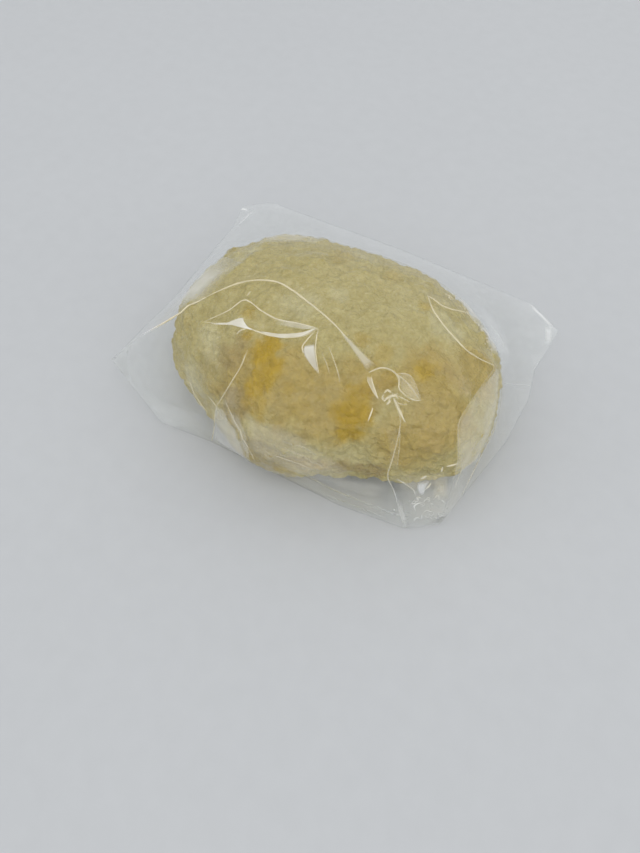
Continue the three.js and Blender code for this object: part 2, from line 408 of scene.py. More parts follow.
def clearWedges(p, wedges, near):  # film inside a wedge is moved out to its edge
    for (axes, inverse, fall), close in zip(wedges, near):
        share = (p[close] - core) @ inverse.T
        reach = share[:, 0] + share[:, 1]
        beside = np.abs(share[:, 2])
        full = 1 - fall * beside
        held = (beside < film["foldHalfWidth"]) & (share[:, 0] > 0) & (share[:, 1] > 0) & (reach < full)
        lifted = share[held]
        lifted[:, :2] *= (full[held] / reach[held])[:, None]
        p[close[held]] = lifted @ axes.T + core


def betweenNeighbours(sheet):
    return (sheet[:-2, 1:-1] + sheet[2:, 1:-1] + sheet[1:-1, :-2] + sheet[1:-1, 2:]) / 4


def tighten(sheet, wedges, passes):
    for turn in range(passes):
        middle = betweenNeighbours(sheet)
        flat = clearDumpling(middle).reshape(-1, 3)
        if turn % film["foldTurns"] == 0:
            near = nearWedges(flat, wedges)
        clearWedges(flat, wedges, near)
        sheet[1:-1, 1:-1] = flat.reshape(middle.shape)


def halveCells(sheet):
    rows, columns = sheet.shape[0] * 2 - 1, sheet.shape[1] * 2 - 1
    fine = np.zeros((rows, columns, 3))
    fine[::2, ::2] = sheet
    fine[1::2, ::2] = (sheet[1:] + sheet[:-1]) / 2
    fine[:, 1::2] = (fine[:, 2::2] + fine[:, :-2:2]) / 2
    return fine


def doughReach(tree, points):  # how far from the core the dough's real surface lies, towards each point
    away = np.linalg.norm(points - core, axis=1)
    ways = (points - core) / away[:, None]
    starts = toFrame(points + ways * film["probe"])
    reach = np.zeros(len(points))
    for index, (start, way) in enumerate(zip(starts, ways)):
        along = tree.ray_cast(Vector(start), Vector(-way))[3]
        if along:
            reach[index] = away[index] + film["probe"] - along / mm
    return reach


def drape(sheet, tree):  # where the film lies on the dough it follows the grains
    flat = sheet.reshape(-1, 3)
    least = doughReach(tree, flat) + film["cling"]
    held = (np.linalg.norm(flat - core, axis=1) < least + film["clingReach"]).reshape(sheet.shape[:2])
    for _ in range(film["drapings"]):
        sheet[1:-1, 1:-1] = np.where(held[1:-1, 1:-1, None], betweenNeighbours(sheet), sheet[1:-1, 1:-1])
        out = sheet.reshape(-1, 3) - core
        away = np.linalg.norm(out, axis=1)
        sheet[:] = (core + out * (np.maximum(away, least) / away)[:, None]).reshape(sheet.shape)
    return sheet


# The upper sheet is a net under tension, settled coarse first and then finer.
def settledFilm():
    sheet = spannedSheet(film["columns"], film["rows"])
    sheet[..., 2] += film["seam"]
    sheet[1:-1, 1:-1, 2] = dumpling["height"]
    wedges = makeWedges()
    tighten(sheet, wedges, film["passes"][0])
    for passes in film["passes"][1:]:
        sheet = halveCells(sheet)
        edge = spannedSheet(sheet.shape[1] - 1, sheet.shape[0] - 1)
        edge[..., 2] += film["seam"]
        for side in (np.s_[0, :], np.s_[-1, :], np.s_[:, 0], np.s_[:, -1]):
            sheet[side] = edge[side]
        tighten(sheet, wedges, passes)
    tighten(sheet, [], passes=1)  # once more without the folds, so that their edges aren't sharp
    return sheet


def nearDough(points):  # from 1 over the dough to 0 well beside it
    x, y = points[:, 0] - dumpling["middle"][0], points[:, 1] - dumpling["middle"][1]
    return 1 - smoothStep((np.hypot(x, y) - planRadius(np.arctan2(y, x))) / film["creamReach"])


def gridPiece(name, sheet, whiteness, cream=None):  # without cream, it is creamy where dough is near
    rows, columns = sheet.shape[:2]
    bpy.ops.mesh.primitive_grid_add(x_subdivisions=columns - 1, y_subdivisions=rows - 1, size=2)
    piece = activeAs(name)
    places = (readPoints(piece.data) + home) * mm
    column = np.rint((places[:, 0] + 1) / 2 * (columns - 1)).astype(int)
    row = np.rint((places[:, 1] + 1) / 2 * (rows - 1)).astype(int)
    writePoints(piece.data, sheet[row, column])
    # The whiteness is the film's milkiness and, on panes, painted light.
    addShare(piece.data, "haze", whiteness[row, column])
    creamy = nearDough(sheet[row, column]) if cream is None else np.full(len(row), cream)
    addShare(piece.data, "cream", creamy)
    bpy.ops.object.shade_smooth()
    return piece


def baseHaze(sheet):
    points = sheet.reshape(-1, 3)
    haze = film["haze"] + (film["flapHaze"] - film["haze"]) * (1 - nearDough(points))
    return (haze * (1 + film["hazeUneven"] * flatNoise(points, film["hazeSize"]))).reshape(sheet.shape[:2])


def makeFilmUpper(inside):
    sheet = drape(settledFilm(), BVHTree.FromObject(inside, bpy.context.evaluated_depsgraph_get()))
    return gridPiece("film_upper", sheet, baseHaze(sheet))


def makeFilmLower():
    sheet = spannedSheet(film["columns"] * 2, film["rows"] * 2)
    across, along = (np.abs(np.linspace(-1, 1, count)) for count in (sheet.shape[1], sheet.shape[0]))
    outward = np.maximum(across[None, :], along[:, None])
    sheet[..., 2] *= smoothStep((outward - film["flatShare"]) / (1 - film["flatShare"]))
    sheet[..., 2] += film["lift"]
    piece = gridPiece("film_lower", sheet, baseHaze(sheet))
    onWholeMesh(bpy.ops.mesh.flip_normals)
    return piece


# Creases that only show as lines of painted highlight, partly real whitening of creased film: half
# thickness, how white they are painted, and points near the film.
creases = {
    "lipHook": (0.12, 0.7, ((-5.1, -20.7, 25.5), (-6.1, -21.3, 25.0), (-6.5, -22.1, 24.5))),
    "lipFleck": (0.1, 0.6, ((-9.2, -13.4, 26.3), (-9.2, -14.8, 26.2))),
    "glossEdge": (0.12, 0.7, ((6.3, -16.4, 27.4), (5.9, -18.5, 26.9), (5.8, -19.8, 26.4),
        (6.6, -20.8, 26.0))),
    "leafInner": (0.12, 0.45, ((22.0, -15.9, 25.3), (24.4, -16.2, 24.5), (27.1, -17.1, 23.1))),
    "leafLow": (0.13, 0.6, ((25.3, -18.0, 23.6), (26.3, -17.8, 23.3), (27.4, -17.1, 23.0))),
    "sliverOuter": (0.1, 0.35, ((18.0, -18.9, 25.2), (18.6, -19.6, 24.8), (21.0, -20.8, 23.4))),
    "sliverInner": (0.14, 0.7, ((18.5, -18.6, 25.3), (19.5, -19.5, 24.5), (21.2, -20.8, 23.4))),
    "knotTop": (0.2, 0.75, ((21.6, -19.6, 24.0), (21.9, -18.9, 24.2), (22.6, -19.0, 24.0))),
    "knotMiddle": (0.24, 0.6, ((22.2, -20.7, 23.2), (22.5, -19.8, 23.6), (23.3, -19.0, 23.8),
        (24.1, -19.1, 23.5))),
    "knotLow": (0.24, 0.6, ((22.7, -20.6, 22.6), (22.9, -20.1, 22.9), (23.0, -19.7, 23.1))),
    "knotFan": (0.12, 0.4, ((23.4, -18.7, 23.6), (24.8, -18.5, 23.3), (25.9, -18.2, 22.8))),
    "knotFanLow": (0.12, 0.35, ((23.2, -19.2, 23.4), (24.4, -19.4, 22.8), (25.8, -18.7, 22.6))),
    "knotLeft": (0.12, 0.7, ((21.6, -19.7, 23.9), (21.7, -20.4, 23.5), (22.4, -20.5, 23.3))),
    "stick": (0.28, 0.7, ((23.3, -19.3, 23.4), (24.8, -20.2, 22.5), (26.7, -21.0, 20.8))),
    "stickLeft": (0.14, 0.85, ((20.9, -21.9, 22.1), (21.0, -22.7, 21.4), (21.1, -23.8, 20.5))),
    "dropRight": (0.14, 0.5, ((28.6, -26.0, 10.9), (30.0, -25.5, 10.0), (31.7, -25.1, 8.7),
        (32.5, -25.2, 7.5))),
    "squiggle": (0.16, 0.9, ((33.3, -24.3, 8.2), (33.9, -23.5, 9.1), (34.1, -23.0, 9.9))),
    "squiggleHook": (0.13, 0.9, ((33.5, -26.3, 4.1), (33.0, -26.2, 5.0), (33.3, -25.7, 5.6),
        (34.0, -25.1, 5.8))),
    "squiggleLow": (0.13, 0.8, ((34.2, -24.9, 5.9), (34.5, -24.2, 6.8), (35.0, -24.0, 6.6))),
    "squiggleBeside": (0.13, 0.8, ((35.5, -23.8, 6.3), (35.9, -23.1, 7.2), (36.4, -23.3, 6.1))),
    "squiggleRight": (0.1, 0.7, ((36.6, -23.1, 6.2), (37.5, -22.9, 5.5))),
    "glint": (0.2, 0.8, ((32.3, -23.7, 10.8), (33.0, -22.9, 11.4))),
    "speck": (0.16, 0.7, ((34.8, -25.9, 3.1), (34.9, -26.4, 2.0))),
    "flickLeft": (0.2, 0.6, ((34.8, -20.9, 13.2), (34.9, -21.4, 12.1))),
    "dropFaint": (0.1, 0.25, ((26.3, -22.0, 20.1), (27.4, -23.8, 17.2), (28.2, -25.4, 13.2))),
    "flick": (0.16, 0.8, ((35.4, -20.7, 13.3), (36.1, -20.1, 13.5), (36.7, -19.3, 13.7))),
    "leftContact": (0.12, 0.55, ((-14.1, -28.8, 13.3), (-12.8, -29.6, 11.7), (-11.0, -30.4, 10.7),
        (-8.6, -31.3, 9.9))),
    "tuckFar": (0.13, 0.45, ((-3.3, -31.8, 17.9), (-0.6, -33.1, 16.4), (2.3, -34.3, 14.1),
        (4.5, -34.5, 8.6))),
    "leftInner": (0.1, 0.5, ((-7.8, -30.9, 15.2), (-5.0, -32.1, 15.6))),
    "streakLeft": (0.09, 0.3, ((9.2, -19.1, 26.3), (11.0, -20.4, 25.7), (12.2, -21.5, 25.0))),
    "streakRight": (0.1, 0.35, ((9.7, -17.6, 26.6), (11.4, -19.0, 26.0), (13.2, -20.5, 25.1),
        (14.3, -21.7, 24.4))),
    "flapLine": (0.08, 0.3, ((36.5, 4.8, 9.1), (38.8, 9.2, 5.1), (40.9, 11.7, 3.2))),
    "flapFaint": (0.08, 0.25, ((40.1, 19.3, 3.4), (40.0, 16.5, 3.4), (40.1, 14.0, 3.5))),
    "bandStreak": (0.09, 0.35, ((6.7, -34.7, 13.7), (9.7, -33.8, 13.1), (12.9, -32.7, 12.0),
        (15.6, -31.3, 9.3))),
    "bandMiddle": (0.08, 0.3, ((8.2, -33.5, 15.7), (11.5, -32.6, 15.3), (14.9, -31.6, 13.0),
        (17.1, -30.6, 10.9))),
    "bandTop": (0.08, 0.25, ((9.7, -32.6, 16.9), (12.5, -31.7, 16.5), (15.6, -30.8, 14.5))),
    "flapStreak": (0.1, 0.3, ((12.9, -32.5, 7.3), (17.9, -30.4, 4.0), (24.2, -29.4, 3.3),
        (30.8, -28.4, 3.1))),
    "flapLow": (0.08, 0.25, ((18.3, -30.6, 1.2), (22.8, -30.0, 1.5), (28.0, -29.3, 1.4))),
    "fanRight": (0.1, 0.35, ((39.2, -6.9, 13.2), (39.2, -12.3, 6.3), (39.2, -18.2, 1.6))),
    "fanMiddle": (0.1, 0.35, ((37.7, -14.0, 15.5), (37.7, -17.4, 12.1), (37.8, -20.4, 7.7))),
}

# Places where the film is crumpled fine, with painted glints on the short creases: middle, reach, number of
# short creases, their length, how white the painted glints are and their half thickness.
crumples = (
    ((33.5, -25.0, 6.0), 2.2, 14, 1.6, 0.8, 0.1),
    ((36.0, -24.6, 2.5), 2.6, 16, 1.6, 0.6, 0.1),
    ((31.0, -27.6, 3.0), 2.4, 8, 2.4, 0.4, 0.1),
    ((20.8, 7.6, 22.5), 0.9, 5, 1.0, 0.6, 0.09),
    ((22.4, 7.6, 22.2), 0.9, 6, 1.0, 0.7, 0.1),
    ((24.1, 7.3, 21.4), 0.9, 7, 1.0, 0.8, 0.1),
    ((25.9, 6.6, 21.1), 0.9, 7, 1.0, 0.8, 0.1),
    ((27.6, 5.9, 20.5), 0.9, 8, 1.0, 0.9, 0.11),
    ((29.4, 4.6, 20.2), 0.9, 8, 1.0, 0.9, 0.11),
    ((31.0, 3.2, 19.8), 0.9, 7, 1.0, 0.9, 0.11),
    ((32.6, 2.2, 19.0), 0.9, 6, 1.0, 0.8, 0.1),
    ((22.6, -19.5, 23.7), 1.0, 12, 0.9, 0.9, 0.1),
    ((-37.5, -26.5, 2.4), 1.8, 5, 1.4, 0.3, 0.1),
)

crumpling = {  # how one short crease differs from the next, as shares of the numbers above
    "seed": 5,
    "spread": (0.5, 0.5, 0.2),
    "slope": (1, 1, 0.4),
    "lengths": (0.3, 1),
    "bend": 0.15,
    "thicknesses": (0.6, 1.3),
    "whitenesses": (0.5, 1.1),
}


# How the thin tubes are drawn that stand for creases and for the seam; their whiteness is painted highlight.
tubes = {
    "taper": 0.35,  # how bluntly they end
    "thinnest": 0.15,  # share of the thickness at their very ends
    "uneven": (0.35, 1.3),  # how much the thickness wanders, and over what length
    "shine": (0.8, 0.5, 1.8),  # share of the whiteness, how much it wanders, and over what length
    "shineAside": 7,  # so that it doesn't wander as the thickness does
    "shineBetween": (0.3, 1.1),
    "steps": {"long": 12, "short": 4},  # between two corners of a line
    "longFrom": 3.0,
}


def makeTubes(name, lines):  # one piece from lines, each with its points, half thickness and whiteness
    wander, wanderLength = tubes["uneven"]
    shine, shineWander, shineLength = tubes["shine"]
    curve = bpy.data.curves.new(name, "CURVE")
    curve.dimensions = "3D"
    curve.bevel_depth = 1.0
    curve.bevel_resolution = 1
    curve.use_fill_caps = True
    whiteness = []
    for points, thickness, white in lines:
        spline = curve.splines.new("POLY")
        spline.points.add(len(points) - 1)
        taper = np.sin(np.linspace(0, math.pi, len(points))) ** tubes["taper"]
        shares = np.maximum(taper, tubes["thinnest"]) * (1 + wander * flatNoise(points, wanderLength))
        for place, at, share in zip(spline.points, toFrame(points), shares):
            place.co = (*at, 1)
            place.radius = share * thickness * mm
        gleam = shine + shineWander * flatNoise(points + tubes["shineAside"], shineLength)
        whiteness.append(white * np.clip(gleam, *tubes["shineBetween"]))
    drawn = bpy.data.objects.new(name, curve)
    bpy.context.collection.objects.link(drawn)
    bpy.ops.object.select_all(action="DESELECT")
    drawn.select_set(True)
    bpy.context.view_layer.objects.active = drawn
    bpy.ops.object.convert(target="MESH")
    bpy.ops.object.shade_smooth()
    piece = activeAs(name)
    places = np.concatenate([points for points, _, _ in lines])
    whiteness = np.concatenate(whiteness)
    near = kdtree.KDTree(len(places))
    for index, place in enumerate(places):
        near.insert(place, index)
    near.balance()
    surface = readPoints(piece.data)
    # Their whiteness, a painted highlight, goes into the haze share.
    addShare(piece.data, "haze", whiteness[[near.find(point)[1] for point in surface]])
    addShare(piece.data, "cream", nearDough(surface))
    return piece


def shortCreases():
    rng = np.random.default_rng(crumpling["seed"])
    for middle, reach, count, length, white, thickness in crumples:
        for _ in range(count):
            start = np.array(middle) + rng.normal(size=3) * reach * crumpling["spread"]
            way = rng.normal(size=3) * crumpling["slope"]
            way *= length * rng.uniform(*crumpling["lengths"]) / np.linalg.norm(way)
            bend = rng.normal(size=3) * length * crumpling["bend"]
            line = (start, start + way / 2 + bend, start + way)
            thick = thickness * rng.uniform(*crumpling["thicknesses"])
            yield thick, white * rng.uniform(*crumpling["whitenesses"]), line


def makeCreases(sheet):
    tree = BVHTree.FromObject(sheet, bpy.context.evaluated_depsgraph_get())
    lines = []
    drawn = [fold[1:] for fold in folds.values()] + list(creases.values()) + list(shortCreases())
    for thickness, white, corners in drawn:
        length = np.linalg.norm(np.array(corners[-1]) - corners[0])
        steps = tubes["steps"]["long" if length > tubes["longFrom"] else "short"]
        lines.append((ontoFilm(tree, smoothLine(corners, steps))[0], thickness, white))
    return makeTubes("film_creases", lines)


seam = {
    "thickness": 0.08,
    "whiteness": 0.02,
    "rise": 0.05,  # over the middle between the sheets
    "points": 90,  # along each side of the bag
}


def makeSeam():
    lines = []
    for edge in bagEdges.values():
        line = alongLine(edge, np.linspace(0, 1, seam["points"]))
        line[:, 2] += film["seam"] / 2 + seam["rise"]
        lines.append((line, seam["thickness"], seam["whiteness"]))
    return makeTubes("film_seam", lines)


# Milky panes between creases, all painted light: painted highlights and reflections where the film catches
# the lamps, and painted light that lifts the shade on the film beside and under the lump. Whiteness at both
# ends, how soft the rim is, how creamy it is, and the points of both sides.
paintedLightPanes = {
    "strip": (0.2, 0.5, 0.25, 0.5,
        ((9.4, -13.9, 27.5), (12.5, -14.8, 26.9), (15.6, -15.7, 26.4), (18.5, -16.6, 25.9)),
        ((9.3, -14.2, 27.4), (12.3, -15.6, 26.7), (15.2, -17.1, 26.0), (17.7, -18.3, 25.5)),
    ),
    "blob": (0.6, 1.0, 0.1, 0.4,
        ((-12.6, -21.5, 23.5), (-9.5, -20.9, 24.7), (-8.5, -20.2, 25.1), (-7.1, -19.2, 25.7),
         (-6.2, -19.8, 25.8), (-5.0, -20.4, 25.7), (-3.6, -20.6, 25.8)),
        ((-12.4, -21.8, 23.3), (-9.3, -21.2, 24.5), (-7.9, -21.0, 24.9), (-6.8, -21.0, 25.1),
         (-5.8, -20.9, 25.3), (-5.0, -20.8, 25.5), (-3.6, -20.7, 25.8)),
    ),
    "lens": (0.6, 0.8, 0.1, 0.5,
        ((-2.8, -20.5, 26.0), (0.8, -19.7, 26.6), (3.0, -18.7, 27.0), (4.6, -17.6, 27.3),
         (6.3, -15.6, 27.4)),
        ((-2.8, -20.6, 25.9), (1.2, -20.3, 26.4), (3.4, -19.3, 26.8), (5.0, -18.2, 27.1),
         (6.4, -15.7, 27.4)),
    ),
    "lensTop": (0.25, 0.45, 0.25, 0.4,
        ((-1.5, -17.4, 27.0), (1.7, -16.5, 27.3), (4.2, -16.1, 27.5), (6.2, -15.7, 27.4)),
        ((-0.5, -18.3, 26.8), (2.5, -17.8, 27.2), (4.8, -17.0, 27.3), (6.3, -15.8, 27.4)),
    ),
    "gloss": (0.75, 0.45, 0.15, 0.3,
        ((6.1, -19.4, 26.5), (6.2, -20.3, 26.2), (6.9, -21.0, 25.9), (8.3, -21.7, 25.6),
         (10.7, -22.5, 24.9)),
        ((7.4, -18.4, 26.8), (8.1, -19.3, 26.4), (8.9, -20.3, 26.1), (9.6, -21.2, 25.6),
         (10.7, -22.5, 24.9)),
    ),
    "corner": (0.2, 0.35, 0.08, 0.1,
        ((-4.8, -31.9, 16.1), (-5.9, -32.3, 11.0), (-7.3, -31.8, 5.8), (-8.2, -31.8, 1.3)),
        ((-3.9, -32.1, 16.4), (-1.2, -33.2, 15.7), (1.7, -34.4, 13.8), (3.2, -33.5, 5.6)),
    ),
    "cornerBeside": (0.15, 0.25, 0.2, 0.3,
        ((-3.9, -32.1, 16.4), (-1.2, -33.2, 15.7), (1.7, -34.4, 13.8), (3.2, -33.5, 5.6)),
        ((0.6, -32.3, 18.2), (1.8, -33.4, 16.8), (3.3, -34.4, 14.4), (3.4, -33.6, 6.0)),
    ),
    "slantSide": (0.1, 0.2, 0.4, 0.8,
        ((-3.0, -28.8, 20.9), (-3.7, -30.2, 19.2), (-4.4, -31.4, 17.1), (-3.9, -32.1, 16.4)),
        ((-2.5, -28.5, 21.3), (-1.1, -30.0, 20.4), (0.1, -31.3, 19.3), (0.6, -32.3, 18.2)),
    ),
    "frontBand": (0.2, 0.1, 0.15, 0.5,
        ((1.1, -31.8, 18.9), (5.0, -32.1, 19.0), (10.2, -31.1, 19.0), (14.5, -30.5, 16.8),
         (18.3, -29.5, 13.5), (21.3, -28.7, 11.2)),
        ((3.4, -34.3, 12.5), (7.2, -34.5, 11.7), (11.3, -33.4, 9.6), (14.7, -31.8, 7.0),
         (18.3, -30.2, 6.0), (22.2, -29.1, 7.0)),
    ),
    # Painted light that lifts and warms the shade on the flap under the lump's front.
    "frontFlap": (0.05, 0.06, 0.15, 1,
        ((6.0, -34.6, 10.1), (11.2, -33.2, 8.2), (16.1, -30.8, 5.3), (21.5, -29.4, 6.7),
         (27.7, -27.4, 8.5)),
        ((5.7, -34.4, 7.9), (9.8, -31.5, 1.8), (16.2, -30.8, 0.9), (22.7, -30.2, 0.9),
         (30.7, -29.0, 0.8)),
    ),
    "side": (0.18, 0.3, 0.1, 0.5,
        ((34.7, -0.4, 18.9), (34.9, -1.8, 19.1), (34.7, -5.3, 20.2), (34.3, -9.3, 21.0),
         (34.1, -13.9, 20.6), (34.1, -16.2, 20.0), (35.2, -18.2, 17.7), (36.3, -19.1, 14.9),
         (36.4, -20.3, 12.5)),
        ((35.4, 0.2, 17.0), (36.0, -1.6, 17.2), (36.6, -3.0, 17.0), (37.5, -5.2, 16.4),
         (38.3, -7.4, 15.8), (38.9, -10.2, 14.8), (39.3, -12.2, 12.6), (38.9, -14.2, 9.6),
         (38.2, -17.2, 9.4)),
    ),
    "leaf": (0.15, 0.2, 0.15, 0.8,
        ((22.0, -15.9, 25.3), (22.8, -16.6, 24.9), (23.3, -17.4, 24.5), (25.3, -18.1, 23.6),
         (27.4, -17.2, 22.9)),
        ((22.2, -15.3, 25.3), (23.3, -14.7, 25.0), (24.2, -14.7, 24.7), (25.8, -15.9, 24.0),
         (27.4, -17.1, 23.0)),
    ),
    "sliver": (0.3, 0.4, 0.1, 0.8,
        ((18.0, -18.9, 25.2), (18.4, -19.5, 24.8), (19.5, -20.2, 24.1), (21.0, -20.8, 23.4)),
        ((18.4, -18.7, 25.2), (19.2, -19.2, 24.7), (20.1, -19.9, 24.1), (21.2, -20.8, 23.4)),
    ),
    "dropBand": (0.05, 0.15, 0.3, 1,
        ((24.3, -23.3, 19.7), (26.0, -24.8, 16.7), (26.9, -26.2, 12.8)),
        ((26.2, -22.0, 20.1), (27.6, -24.0, 17.0), (28.4, -25.4, 13.1)),
    ),
    "bubble": (0.8, 0.6, 0.3, 0,
        ((31.8, -24.2, 10.4), (32.2, -24.8, 8.7), (33.5, -24.7, 7.3)),
        ((33.9, -22.7, 10.8), (33.8, -23.7, 8.9), (33.6, -24.6, 7.3)),
    ),
    "underFront": (0.15, 0.3, 0.4, 1,
        ((27.6, -26.2, 12.8), (31.0, -23.7, 12.6), (33.7, -22.2, 12.4), (36.0, -20.3, 12.8)),
        ((28.8, -27.0, 8.6), (31.9, -25.2, 8.2), (34.4, -23.4, 8.4), (37.0, -20.8, 10.0)),
    ),
    "underRight": (0.3, 0.3, 0.45, 1,
        ((33.6, -22.6, 12.2), (35.2, -21.6, 12.2), (36.4, -20.6, 12.0)),
        ((35.0, -24.2, 5.8), (36.4, -23.2, 5.8), (37.8, -22.2, 6.0)),
    ),
    # Painted light over the shade under the lump's front.
    "underLeft": (0.2, 0.2, 0.4, 0.4,
        ((16.5, -30.6, 8.0), (20.5, -29.2, 9.2), (24.5, -28.0, 9.6), (28.6, -26.3, 10.0)),
        ((17.0, -30.8, 4.6), (21.0, -29.9, 4.8), (25.0, -29.0, 5.0), (28.6, -28.1, 5.8)),
    ),
    "rise": (0.3, 0.3, 0.4, 0.2,
        ((29.5, -27.2, 7.5), (30.4, -28.1, 4.8), (31.6, -28.6, 2.5), (32.6, -28.7, 0.8)),
        ((30.7, -26.7, 7.5), (31.7, -27.4, 4.8), (33.0, -27.9, 2.5), (33.8, -28.2, 0.8)),
    ),
    # Painted light over the shade of the skirt at the lower right.
    "skirt": (0.2, 0.12, 0.35, 0.5,
        ((27.2, -26.5, 11.5), (30.1, -27.3, 6.6), (33.2, -28.4, 0.5)),
        ((38.4, -16.4, 9.1), (39.2, -18.4, 1.5), (38.0, -24.5, 0.9)),
    ),
    "cornerBand": (0.6, 0.7, 0.4, 0,
        ((32.2, 33.2, 3.6), (33.1, 32.0, 3.6), (35.0, 30.9, 3.6), (37.7, 29.3, 3.6), (40.1, 28.0, 3.4)),
        ((33.0, 33.4, 3.6), (34.1, 32.4, 3.6), (36.0, 31.6, 3.6), (38.6, 30.1, 3.6), (40.8, 28.6, 3.4)),
    ),
    "cornerBlock": (0.5, 0.5, 0.35, 0,
        ((37.3, 28.8, 3.6), (38.4, 26.4, 3.6), (39.3, 22.9, 3.6)),
        ((39.3, 29.2, 3.6), (40.2, 26.6, 3.6), (41.0, 23.9, 3.5)),
    ),
    "leftBandTop": (0.9, 1.2, 0.4, 0,
        ((-42.0, 24.6, 3.5), (-41.6, 26.6, 3.5), (-39.3, 27.1, 3.5)),
        ((-41.0, 24.8, 3.5), (-41.0, 26.0, 3.5), (-39.0, 26.3, 3.5)),
    ),
    "leftBand": (0.3, 0.45, 0.4, 0,
        ((-39.4, 19.0, 3.6), (-39.0, 22.9, 3.6), (-39.0, 26.0, 3.6), (-38.7, 27.8, 3.6)),
        ((-38.2, 19.0, 3.6), (-37.9, 22.4, 3.6), (-37.9, 25.5, 3.6), (-37.7, 27.3, 3.6)),
    ),
    "leftEdgeBand": (0.3, 0.3, 0.4, 0,
        ((-40.6, 20.4, 3.5), (-41.6, 24.3, 3.5), (-42.1, 26.8, 3.5)),
        ((-39.7, 20.6, 3.6), (-40.7, 24.0, 3.6), (-41.3, 26.4, 3.5)),
    ),
    # Painted glare of the lamps on the right flap.
    "glare": (0.2, 0.3, 0.4, 0,
        ((22.0, 20.0, 9.8), (26.4, 16.8, 10.2), (30.0, 12.0, 11.5), (33.5, 7.0, 12.0)),
        ((25.0, 24.0, 6.5), (29.5, 20.5, 6.8), (33.5, 16.5, 7.0), (37.0, 11.0, 7.0)),
    ),
    "rimVeil": (0.25, 0.35, 0.35, 0.3,
        ((19.5, 9.0, 21.8), (22.0, 8.5, 21.5), (24.2, 7.5, 21.3), (26.4, 5.8, 21.2), (28.8, 4.6, 20.4)),
        ((20.8, 12.0, 19.0), (23.0, 12.0, 17.8), (25.5, 11.0, 17.5), (27.8, 9.6, 17.5),
         (30.2, 7.4, 17.6)),
    ),
    "rimGlare": (0.6, 0.5, 0.3, 0.1,
        ((27.8, 5.4, 20.5), (29.8, 3.6, 20.3), (31.6, 2.4, 19.6), (33.4, 2.0, 18.2)),
        ((28.5, 9.6, 17.4), (30.8, 8.8, 15.8), (32.4, 8.2, 14.0), (33.8, 6.5, 13.5)),
    ),
    "backRim": (0.3, 0.3, 0.4, 0.5,
        ((-16.4, -0.1, 23.2), (-14.7, 1.5, 23.5), (-12.4, 2.6, 23.9), (-9.5, 3.8, 24.4),
         (-6.7, 5.2, 24.3)),
        ((-18.3, 2.8, 20.5), (-16.8, 5.2, 20.0), (-13.5, 7.0, 20.5), (-9.8, 8.5, 21.5),
         (-6.5, 10.0, 21.0)),
    ),
    "tentVeil": (0.5, 0.55, 0.45, 0.2,
        ((-25.0, -19.0, 15.5), (-25.8, -13.5, 16.0), (-25.2, -9.0, 17.2), (-23.6, -3.5, 18.5)),
        ((-19.0, -18.6, 21.6), (-17.0, -17.3, 23.3), (-16.5, -12.7, 23.8), (-16.0, -7.0, 24.2)),
    ),
    # Painted light that lifts the shade on the left flap beside the lump.
    "leftFlap": (0.1, 0.18, 0.3, 0,
        ((-30.0, -28.0, 4.0), (-22.0, -30.5, 4.0), (-15.0, -31.0, 6.0), (-9.5, -31.2, 8.5)),
        ((-27.0, -30.5, 1.5), (-20.5, -32.8, 1.0), (-14.0, -32.2, 0.8), (-9.0, -31.7, 1.0)),
    ),
}


paneNet = {
    "lift": 0.15,  # the least height of a pane over the film
    "columns": 13,
    "steps": 8,  # rows between two corners of a side
    "uneven": 0.25,
}


def ontoFilm(tree, points):  # the nearest place on the film, and which way it faces there
    found = [tree.find_nearest(Vector(point))[:2] for point in toFrame(points)]
    return fromFrame([place[:] for place, _ in found]), np.array([way[:] for _, way in found])


def spannedPane(tree, left, right):  # as taut as the film below it allows
    left, right = (ontoFilm(tree, smoothLine(side, paneNet["steps"]))[0][:, None] for side in (left, right))
    across = np.linspace(0, 1, paneNet["columns"])[None, :, None]
    sheet = left * (1 - across) + right * across
    flat = sheet.reshape(-1, 3)
    below, ways = ontoFilm(tree, flat)
    height = np.einsum("ij,ij->i", flat - below, ways)
    flat += ways * np.maximum(paneNet["lift"] - height, 0)[:, None]
    return sheet


def paneWhiteness(sheet, starting, ending, rim):
    rows, columns = sheet.shape[:2]
    along, across = np.linspace(0, 1, rows)[:, None], np.linspace(0, 1, columns)[None, :]
    inward = np.minimum(np.minimum(along, 1 - along), np.minimum(across, 1 - across))
    uneven = 1 + paneNet["uneven"] * flatNoise(sheet.reshape(-1, 3), film["hazeSize"]).reshape(rows, columns)
    return (starting + (ending - starting) * along) * smoothStep(inward / rim) * uneven


def makePaintedLightPanes(under):
    tree = BVHTree.FromObject(under, bpy.context.evaluated_depsgraph_get())
    made = []
    for starting, ending, rim, cream, left, right in paintedLightPanes.values():
        sheet = spannedPane(tree, left, right)
        made.append(gridPiece("film_painted_light", sheet, paneWhiteness(sheet, starting, ending, rim), cream))
    bpy.ops.object.select_all(action="DESELECT")
    for pane in made:
        pane.select_set(True)
    bpy.ops.object.join()
    onWholeMesh(bpy.ops.mesh.normals_make_consistent, inside=False)
    return activeAs("film_painted_light")


